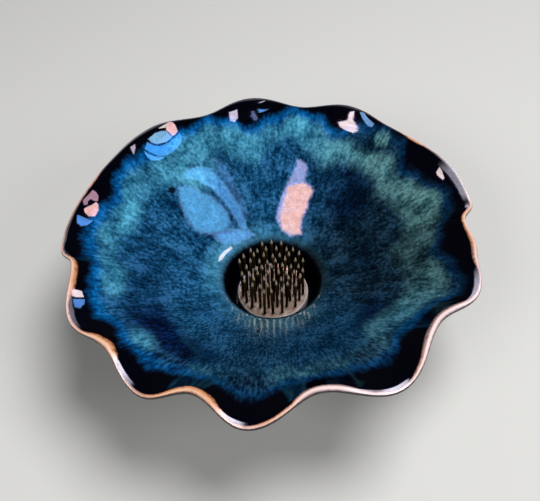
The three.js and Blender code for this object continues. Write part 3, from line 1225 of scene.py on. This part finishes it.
# The pale, less metallic points are a painted highlight.
painted_tip_highlight = step(tree, height_up, tip_from - 1.2 * mm, tip_from + 1.2 * mm)
pin_colour = blend(tree, painted_tip_highlight, ramp(tree, tarnish, brown_brass_and_shade), colour(196, 176, 146))
tree.links.new(pin_colour, shader.inputs["Base Color"])
tree.links.new(step(tree, painted_tip_highlight, 0.0, 1.0, 0.8, 0.2), shader.inputs["Metallic"])
tree.links.new(step(tree, tarnish, 0.3, 0.9, 0.42, 0.28), shader.inputs["Roughness"])
print("the pins are brass")

# %% [markdown]
# The disc is cast lead under a pale grey skin of lime and oxide, stained and pitted, with a painted
# highlight round its edge. The skin hides most of the metal, so it is only partly metallic.

# %% Lead
tree = lead.node_tree
shader = tree.nodes["Principled BSDF"]
position = object_place(tree)
stain = noise(tree, position, 3 * mm, detail=5.0, roughness=0.6)
lime = [(0.3, colour(132, 108, 96)), (0.5, colour(196, 168, 152)), (0.7, colour(222, 204, 196))]
flat = vector(tree, "MULTIPLY", position, (1, 1, 0))
from_axis = vector(tree, "LENGTH", flat, out="Value")
# The pale ring round the disc's edge is a painted highlight.
painted_edge_highlight = step(tree, from_axis, frog_radius - 1.1 * mm, frog_radius - 0.3 * mm, 0.0, 0.8)
lead_colour = blend(tree, painted_edge_highlight, ramp(tree, stain, lime), colour(232, 222, 226))
tree.links.new(lead_colour, shader.inputs["Base Color"])
shader.inputs["Metallic"].default_value = 0.4
tree.links.new(step(tree, stain, 0.3, 0.7, 0.6, 0.42), shader.inputs["Roughness"])
pits = noise(tree, position, 0.5 * mm, detail=3.0)
bump = add(tree, "ShaderNodeBump", {"Height": pits, "Strength": 0.5, "Distance": 0.05 * mm})
tree.links.new(bump.outputs["Normal"], shader.inputs["Normal"])
print("the disc is lead")

# %% [markdown]
# ## Camera, floor and lamps
#
# The camera stands where the photograph was taken from: about 370 mm from the foot of the bowl, and
# 49 degrees above the table. Soft lamps light the clay evenly, and are hidden from the gloss,
# because a glossy glaze shows every lamp as a patch.

# %% The camera
camera_data = bpy.data.cameras.new("camera")
camera_data.lens = 50
camera_data.sensor_width = 36
camera_data.clip_start = 0.01
camera = bpy.data.objects.new("camera", camera_data)
bpy.context.scene.collection.objects.link(camera)
camera_place = Vector((-0.741, -220.89, 301.68)) * mm
camera_tilt = math.radians(40.675)
camera_roll = math.radians(-1.886)
camera.matrix_world = (
    Matrix.Translation(camera_place)
    @ Matrix.Rotation(camera_tilt, 4, "X")
    @ Matrix.Rotation(camera_roll, 4, "Z")
)
bpy.context.scene.camera = camera
bpy.context.scene.view_settings.view_transform = "Standard"
print("the camera stands", round(camera_place.length, 3), "m from the bowl's foot")

# %% The floor and the world
floor_mesh = bpy.data.meshes.new("floor")
floor_half = 2.5
floor_mesh.from_pydata(
    [(x * floor_half, y * floor_half, 0) for x, y in ((-1, -1), (1, -1), (1, 1), (-1, 1))],
    [],
    [(0, 1, 2, 3)],
)
floor = bpy.data.objects.new("floor", floor_mesh)
bpy.context.scene.collection.objects.link(floor)
paper = bpy.data.materials.new("pale_paper")
paper.use_nodes = True
paper_shader = paper.node_tree.nodes["Principled BSDF"]
paper_shader.inputs["Base Color"].default_value = (0.64, 0.635, 0.62, 1)
paper_shader.inputs["Roughness"].default_value = 0.9
floor_mesh.materials.append(paper)
world = bpy.data.worlds.new("dim_room")
bpy.context.scene.world = world
world.use_nodes = True
world.node_tree.nodes["Background"].inputs["Color"].default_value = (0.02, 0.02, 0.02, 1)
print("the floor is", 2 * floor_half, "m wide")


# %% Soft lamps
def lamp(name, place, size, power):
    data = bpy.data.lights.new(name, "AREA")
    data.shape = "DISK"
    data.size = size
    data.energy = power
    piece = bpy.data.objects.new(name, data)
    bpy.context.scene.collection.objects.link(piece)
    piece.location = place
    piece.rotation_euler = (-Vector(place)).to_track_quat("-Z", "Y").to_euler()
    piece.visible_glossy = False


lamp("overhead", (0.35, 0.1, 1.15), 0.7, 13.2)
lamp("front_left", (-0.6, -0.7, 0.8), 0.5, 4.4)
lamp("front_right", (0.8, -0.5, 0.7), 0.5, 3.5)
print("lamps are set")

# %% [markdown]
# ## What the glaze reflects
#
# The glaze mirrors a window in small curved patches: a wide one in the dish, and one in each lobe of
# the rim. One bright window far away would spread over the whole bowl as long bent streaks, so small
# glowing cards close above the glaze give each patch its outline. A card glows on the side that
# faces the glaze, only for a first reflection from nearby, and is clear to everything else, so the
# light on the clay stays neutral. Towards its edge it fades through a blue fringe, torn by a noise,
# as the ripples of the glaze tear the edge of a real patch.
#
# The outlines were traced by eye on a photograph of the bowl, and a script carried their corners
# along the mirrored rays to the plane of each card. A script also worked out one colour of light for
# each card from its patch, and a few of these were then changed by eye.

# %% The glow of a sheet
first_reflection = 1


def glow_material(name, glow_colour, nearest, reach):
    """A glow on one side, for first reflections that are near enough and not too near."""
    material = bpy.data.materials.new(name)
    material.use_nodes = True
    tree = material.node_tree
    tree.nodes.clear()
    strength = max(glow_colour)
    shade = (*(part / strength for part in glow_colour), 1)
    place = object_place(tree)
    uneven = step(tree, noise(tree, place, 2.2 * mm, detail=3.0), 0.3, 0.7, 0.86, 1.14)
    uneven = calculate(tree, "MULTIPLY", uneven, attribute(tree, "glow"))
    uneven = calculate(tree, "MULTIPLY", uneven, strength)
    fade = attribute(tree, "fade")
    fringe = (0.2 + 0.3 * shade[0], 0.47, 0.9, 1)
    fringed = blend(tree, step(tree, fade, 0.3, 0.9), fringe, shade)
    emission = add(tree, "ShaderNodeEmission", {"Color": fringed, "Strength": uneven})
    path = add(tree, "ShaderNodeLightPath").outputs
    torn = calculate(tree, "MULTIPLY_ADD", noise(tree, place, 1.6 * mm), 0.8, -0.4)
    torn = calculate(tree, "ADD", fade, torn)
    hidden = step(tree, torn, 0.1, 0.9, 1.0, 0.0)
    for reason in (
        add(tree, "ShaderNodeNewGeometry").outputs["Backfacing"],
        calculate(tree, "GREATER_THAN", path["Ray Depth"], first_reflection),
        calculate(tree, "GREATER_THAN", path["Ray Length"], reach),
        calculate(tree, "LESS_THAN", path["Ray Length"], nearest),
    ):
        hidden = calculate(tree, "MAXIMUM", hidden, reason)
    clear = add(tree, "ShaderNodeBsdfTransparent")
    shown = add(tree, "ShaderNodeMixShader", {0: hidden, 1: emission, 2: clear})
    add(tree, "ShaderNodeOutputMaterial", {"Surface": shown})
    return material


print("a sheet can glow")


# %% A sheet and a card
def glowing(name, points, faces, glow_colour, nearest, reach, glows=None, fades=None):
    """A sheet of light, which only the gloss sees."""
    mesh = bpy.data.meshes.new(name)
    mesh.from_pydata(points, [], faces)
    for label, values in (("glow", glows), ("fade", fades)):
        values = values or [1.0] * len(points)
        mesh.attributes.new(label, "FLOAT", "POINT").data.foreach_set("value", values)
    mesh.materials.append(glow_material(name, glow_colour, nearest, reach))
    piece = bpy.data.objects.new(name, mesh)
    bpy.context.scene.collection.objects.link(piece)
    piece.visible_camera = False
    piece.visible_diffuse = False
    piece.visible_shadow = False
    piece.visible_transmission = False


def card(name, glow_colour, edge_width, reach, outline):
    """A glowing card through points in millimetres, which fades across its edge."""
    corners = [Vector(point) * mm for point in outline]
    count = len(corners)
    area = Vector((0, 0, 0))
    for i in range(count):
        area += corners[i - 1].cross(corners[i])
    facing = area.normalized()
    inner = []
    outer = []
    for i in range(count):
        before = (corners[i] - corners[i - 1]).normalized()
        after = (corners[(i + 1) % count] - corners[i]).normalized()
        sideways = (before + after).normalized().cross(facing) * edge_width / 2
        inner.append(corners[i] - sideways)
        outer.append(corners[i] + sideways)
    faces = [list(range(count))]
    for i in range(count):
        after = (i + 1) % count
        faces.append((i, count + i, count + after, after))
    fades = [1.0] * count + [0.0] * count
    glowing(name, inner + outer, faces, glow_colour, 0, reach, fades=fades)


print("a card can be cut")

# %% [markdown]
# The window's patches on the dish and on the lip of the well. Each card has its name, its light, the
# width of its edge in millimetres and its outline. The glaze sees these cards from up to 30 mm.

# %% Cards over the dish and the lip
dish_reach = 30 * mm
dish_cards = [
    ("window_on_dish", (1.6, 5.6, 10.2), 3.0, [
        (-42.5, 42.4, 48.4), (-38.7, 43.9, 46), (-33.4, 42.8, 42.9), (-27.9, 41.2, 39.7),
        (-23, 37.8, 37), (-20.1, 34.4, 35.5), (-18.7, 29.9, 35), (-19.3, 27.1, 35.6),
        (-23.7, 25, 38.3), (-28.4, 24.7, 41.2), (-33, 27.5, 43.8), (-37.3, 32.3, 46),
        (-40.1, 37.2, 47.4),
    ]),
    ("window_low_on_dish", (1.7, 4.2, 9.8), 3.0, [
        (-24.3, 24.2, 36.4), (-19.4, 26.6, 34.2), (-15, 28, 32.3), (-10.6, 28, 30.6),
        (-7, 26.2, 29.3), (-11.1, 24.3, 31.2), (-13.3, 22.2, 32.3), (-18.5, 20.7, 34.5),
        (-22.5, 22.3, 35.9),
    ]),
    ("window_edge_on_dish", (1.3, 4.3, 9.4), 2.0, [
        (-40.3, 48.3, 50.9), (-38.6, 52, 50.5), (-33.5, 54.4, 48.6), (-28.8, 54.3, 46.7),
        (-24.7, 51.2, 44.8), (-20, 46.5, 42.5), (-15.8, 41.3, 40.3), (-12.3, 36.1, 38.5),
        (-10.5, 31.8, 37.4), (-9.2, 28.4, 36.6), (-11.5, 28.3, 37.5), (-14.3, 32.3, 39),
        (-18.7, 37.7, 41.2), (-22.8, 42, 43.2), (-27.7, 45.2, 45.5), (-33.1, 47.6, 47.9),
        (-38.2, 47.9, 50),
    ]),
    ("window_shade_on_dish", (0.5, 1.1, 2.5), 2.0, [
        (-28.3, 58.1, 50.2), (-25.1, 58.8, 49.3), (-22.1, 57.2, 48), (-19, 53.3, 46.2),
        (-15.2, 47, 43.8), (-11.7, 41.2, 41.5), (-8.8, 34.7, 39.3), (-10.4, 34.6, 39.8),
        (-13.7, 39.2, 41.8), (-17.2, 44.4, 43.9), (-20.8, 49.7, 46.1), (-24.6, 54.9, 48.4),
    ]),
    ("warm_pane_on_dish", (18.5, 10.2, 8.4), 3.0, [
        (8.7, 47.4, 38.5), (11.7, 48.4, 39.3), (16.5, 48.6, 40.6), (20.1, 45.5, 41.1),
        (20.3, 42.9, 40.9), (17.5, 39.3, 39.8), (16, 35.6, 39), (13.6, 32.4, 38),
        (12.1, 28.8, 37.2), (12.1, 25.4, 36.8), (7.5, 25.3, 35.6), (4.5, 27.8, 35.2),
        (3.7, 32.6, 35.5), (4.9, 37.1, 36.4), (6.9, 42.7, 37.5),
    ]),
    ("pale_pane_on_dish", (6.3, 6.5, 11.5), 2.4, [
        (14.1, 59.3, 46.1), (16.5, 58.1, 46.3), (18.2, 56.2, 46.3), (18.6, 53.7, 45.8),
        (17.3, 50.4, 44.9), (15.9, 47.3, 44), (12.6, 47, 43.3), (9.4, 46.7, 42.7),
        (6.3, 41.9, 41.1), (4.7, 36.6, 39.7), (3.8, 32.3, 38.6), (2.9, 30.3, 38), (2.5, 33.7, 38.7),
        (3.6, 38.1, 39.8), (5.5, 42.9, 41.1), (8.2, 47.8, 42.7), (10.9, 51.8, 44),
        (12.8, 55.5, 45.1),
    ]),
    ("pane_on_lip", (14.5, 11.5, 11.5), 0.9, [
        (-21.3, 13.1, 33.9), (-21.5, 15.2, 33.1), (-20.4, 17.3, 31.8), (-18.4, 19.5, 29.7),
        (-17.3, 18.7, 29.5), (-19, 16.5, 31.3), (-20, 13.8, 32.9),
    ]),
]
for name, glow_colour, edge_width, outline in dish_cards:
    card(name, glow_colour, edge_width * mm, dish_reach, outline)
print(len(dish_cards), "cards hang over the dish")

# %% [markdown]
# The rim's lobes are hollow like spoons, and each gathers the whole window into a few small bright
# scraps. Their edges are sharp, and their cards are seen from 15 mm at most, so that no lobe shows
# its neighbour's.

# %% Cards over the left lobes
lobe_edge = 0.5 * mm
lobe_reach = 15 * mm
left_cards = [
    ("left_lobe_cream", (14.8, 13.7, 12.1), [
        (-54.1, 74.3, 73.2), (-54, 75.9, 72.6), (-52.5, 76.8, 72.1), (-50.5, 72.6, 73.4),
        (-52.1, 74.1, 73.1), (-51.7, 72.6, 73.6),
    ]),
    ("left_lobe_pink", (17.9, 10.4, 10.5), [
        (-51.2, 76.1, 62.4), (-49.8, 77.3, 62.2), (-45.4, 68.9, 65.2), (-46.6, 67.8, 65.4),
        (-50.6, 71.2, 64),
    ]),
    ("left_lobe_sky", (4.4, 9.3, 14.6), [
        (-56.2, 68.3, 65.3), (-54.7, 70.8, 64.2), (-52.7, 71.1, 63.6), (-50.5, 70.7, 63.3),
        (-47, 67.4, 63.6), (-48.4, 66, 64.4), (-51.1, 65.7, 65.1), (-53.8, 66.5, 65.4),
    ]),
    ("left_lobe_blue", (1.1, 5.4, 14.0), [
        (-56.3, 66.2, 64.5), (-53.7, 64.6, 64.1), (-50.5, 63.9, 63.3), (-47.9, 64.9, 62.2),
        (-45.7, 66.6, 61.2), (-44.3, 68.5, 60.3), (-42.6, 66.5, 60.2), (-42.3, 63.9, 60.8),
        (-43.6, 61.3, 61.8), (-45.7, 59.5, 62.9), (-48.8, 59.1, 64), (-52.6, 61.2, 64.6),
        (-55.2, 62.6, 65.1),
    ]),
    ("left_lobe_blue_low", (1.6, 6.8, 14.4), [
        (-57.9, 58.8, 61.3), (-55.7, 57.5, 60.5), (-52.8, 56.7, 59.1), (-49.1, 56.7, 56.7),
        (-50.3, 55.1, 58.2), (-52.7, 54.4, 60.1), (-55.3, 56, 61),
    ]),
    ("left_lobe_lilac", (7.9, 6.5, 8.1), [
        (-63.7, 59.3, 63.7), (-63.2, 60.7, 61.8), (-61.8, 59.1, 62.3), (-60, 56.1, 63.6),
        (-61.8, 57.6, 63.8),
    ]),
    ("far_left_mauve", (8.7, 4.8, 6.5), [
        (-79.3, 26.8, 63.8), (-77.6, 26.4, 63.2), (-76.1, 25.2, 62.7), (-75.9, 23.2, 62.8),
        (-77.7, 22.7, 63.7), (-79.3, 23, 64.3), (-80.5, 21.9, 65), (-80.5, 20.5, 65.1),
        (-82.3, 20.2, 65.9), (-83.8, 21.8, 66.4), (-81.3, 24.2, 65),
    ]),
    ("far_left_pink", (18.8, 10.6, 9.9), [
        (-81.3, 19.4, 63.3), (-79.2, 20.6, 62.1), (-77.8, 22.2, 61), (-76.3, 21.3, 60.7),
        (-75.7, 19.2, 61), (-76.7, 17.1, 62), (-79.6, 16.5, 63.3), (-81.8, 17.2, 64),
        (-82.6, 18.4, 64),
    ]),
    ("far_left_blue", (1.7, 5.5, 15.3), [
        (-86.5, 15, 62.1), (-83.7, 14.6, 61.5), (-80.7, 14.3, 60.9), (-78.2, 14.2, 60.3),
        (-80.5, 12.5, 61.7), (-83.3, 11.8, 62.7), (-85.5, 12.5, 63),
    ]),
    ("near_left_white", (18.8, 15.5, 16.5), [
        (-79.4, -29.5, 63.6), (-76.3, -28.9, 61.2), (-75.1, -30.6, 61.3), (-77.5, -31.7, 63.4),
        (-80, -32.1, 65.3),
    ]),
    ("near_left_blue", (1.7, 4.8, 13.3), [
        (-79.5, -33.5, 62.9), (-75.5, -32.1, 59.9), (-75.3, -33.6, 60.8), (-76.5, -34.9, 62.4),
        (-78.3, -35.2, 63.5),
    ]),
]
for name, glow_colour, outline in left_cards:
    card(name, glow_colour, lobe_edge, lobe_reach, outline)
print(len(left_cards), "cards hang over the left lobes")

# %% Cards over the back and right lobes
right_cards = [
    ("back_lobe_pink", (11.7, 10.2, 13.4), [
        (-15.9, 83.9, 62.3), (-13.8, 86.3, 60.3), (-12.5, 81.5, 60.9), (-12.9, 78.9, 61.9),
        (-14.3, 78.7, 62.8),
    ]),
    ("back_lobe_mauve", (2.2, 3.0, 6.1), [
        (-7.4, 88.2, 66.2), (-6.7, 88, 66.3), (-5.6, 82.7, 67.6), (-6.1, 81.6, 67.8),
        (-7.3, 85, 67),
    ]),
    ("back_lobe_white", (14.1, 13.0, 16.8), [
        (-6.7, 93.7, 71.6), (-6.5, 95.9, 70.9), (-5.5, 97.1, 70.8), (-5.7, 93.9, 71.9),
        (-6.2, 90.8, 73), (-6.2, 90.8, 72.9), (-6.7, 92.4, 72.2),
    ]),
    ("back_lobe_blue", (1.9, 5.9, 14.2), [
        (-6.3, 90.2, 69.6), (-5.4, 88.7, 70.2), (-4.5, 87.7, 70.7), (-4.2, 83.6, 71.6),
        (-4.1, 81.2, 72.1), (-4.5, 81, 72), (-5.2, 83.1, 71.4), (-5.8, 85.9, 70.6),
    ]),
    ("right_lobe_cream", (18.0, 14.2, 15.0), [
        (38.4, 78.3, 64.1), (41.1, 82.4, 63.2), (42.8, 83.3, 63.4), (40.1, 79.2, 64.3),
        (38.2, 75.1, 65.5), (36.6, 72.8, 66), (35.6, 71.7, 66.1), (35.4, 72.8, 65.5),
        (34.8, 74.2, 64.6), (35.4, 76.4, 63.8),
    ]),
    ("right_lobe_blue", (2.6, 5.3, 10.1), [
        (46.9, 78, 59.1), (48.2, 77.9, 60.7), (46.7, 74.6, 63), (44.8, 70.9, 65.4),
        (43.3, 69.8, 65.1), (43.6, 71.3, 63.6), (45.6, 75.1, 61.2),
    ]),
    ("far_right_pink", (14.8, 11.9, 11.6), [
        (79.3, 38, 61.4), (79.6, 36.6, 62.4), (79.2, 34, 63.8), (78, 33.4, 63.8),
        (76.6, 35.5, 62.1), (76.9, 36.5, 61.5),
    ]),
    ("far_right_blue", (4.2, 6.2, 10.5), [
        (83, 37, 63.8), (86.3, 36.8, 64.4), (88, 34.9, 66.2), (82.2, 33.5, 66.5), (81.3, 35, 65.1),
        (81.4, 36.4, 64),
    ]),
]
for name, glow_colour, outline in right_cards:
    card(name, glow_colour, lobe_edge, lobe_reach, outline)
print(len(right_cards), "cards hang over the back and right lobes")

# %% [markdown]
# The crest is round and mirrors light all along the rim. A ribbon of light follows it a few
# millimetres above and outside. Each entry of the crest's list says how bright it is there, and its
# inner rows glow only over the brightest places, where the inside of the crest shines too.

# %% The ribbon's course and glow
ribbon_gap = 7 * mm
inner_gain = 1.8
inner_loss = 7.5
ribbon_rows = [(142, 0), (128, 1), (110, 1), (90, 1), (85, 1), (65, 1), (35, 1), (8, 1), (-8, 0)]
ribbon_steps = 240
ribbon_azimuths = [360 * k / ribbon_steps for k in range(ribbon_steps)]
crest_ring = []
for azimuth in ribbon_azimuths:
    out, up = eased(flutes, azimuth)
    ring_reach = rim_radius + out * flute_reach
    way = along(azimuth) * ring_reach
    crest_ring.append(Vector((way.x, way.y, rim_height + up * flute_rise)))
ribbon_points = []
glows = []
fades = []
for k, azimuth in enumerate(ribbon_azimuths):
    ahead = crest_ring[(k + 1) % ribbon_steps] - crest_ring[k - 1]
    outward = Vector((ahead.y, -ahead.x, 0)).normalized()
    crest_glow = eased(crest_band, azimuth)[2]
    inner_glow = max(0.0, inner_gain * crest_glow - inner_loss)
    for slope, fade in ribbon_rows:
        way = outward * along(slope).x + Vector((0, 0, along(slope).y))
        ribbon_points.append(crest_ring[k] + way * ribbon_gap)
        glows.append(inner_glow if slope >= 90 else crest_glow)
        fades.append(float(fade) if glows[-1] > 0 else 0.0)
print("the ribbon is brightest at", round(max(glows), 1))

# %% The ribbon over the crest
rows = len(ribbon_rows)
ribbon_faces = []
for k in range(ribbon_steps):
    here = k * rows
    there = (k + 1) % ribbon_steps * rows
    for row in range(rows - 1):
        ribbon_faces.append((here + row, there + row, there + row + 1, here + row + 1))
ribbon_colour = (0.97, 0.92, 1.08)
ribbon_reach = 20 * mm
glowing(
    "crest_ribbon",
    ribbon_points,
    ribbon_faces,
    ribbon_colour,
    0,
    ribbon_reach,
    glows,
    fades,
)
print("the ribbon has", len(ribbon_faces), "faces")

# %% [markdown]
# The dish in front of the well mirrors the bright tips of the pins as a row of short dashes. A small
# glowing sleeve round each pin makes them bright enough to see in the gloss. A sleeve glows towards
# the viewer's side, more the further back it stands, and only reflections from 12 to 37 mm away see
# it, which keeps it out of the well and off the rest of the dish.

# %% Sleeves of light round the pins
sleeve_radius = 0.42 * mm
sleeve_sides = 8
sleeve_colour = (6.4, 6.8, 6.2)
sleeve_nearest = 12 * mm
sleeve_reach = 37 * mm
tip_height = frog_top + pin_length - pin_depth
sleeve_ends = (tip_height - 3.9 * mm, tip_height - 2.5 * mm)
sleeve_points = []
sleeve_faces = []
sleeve_glows = []
for index, (x, y, _) in enumerate(pin_places):
    glow = 0.4 + 0.6 * ((index * 5) % 7) / 6
    glow *= min(1.0, max(0.2, (y + 12 * mm) / (14 * mm)))
    first = len(sleeve_points)
    for side in range(sleeve_sides):
        facing = along(360 * side / sleeve_sides)
        way = facing * sleeve_radius
        for height in sleeve_ends:
            sleeve_points.append((x + way.x, y + way.y, height))
            sleeve_glows.append(glow * max(0.0, -facing.y) ** 2)
    for side in range(sleeve_sides):
        here = first + 2 * side
        there = first + 2 * ((side + 1) % sleeve_sides)
        sleeve_faces.append((here, there, there + 1, here + 1))
glowing(
    "pin_sleeves",
    sleeve_points,
    sleeve_faces,
    sleeve_colour,
    sleeve_nearest,
    sleeve_reach,
    sleeve_glows,
)
print(len(pin_places), "sleeves of light")
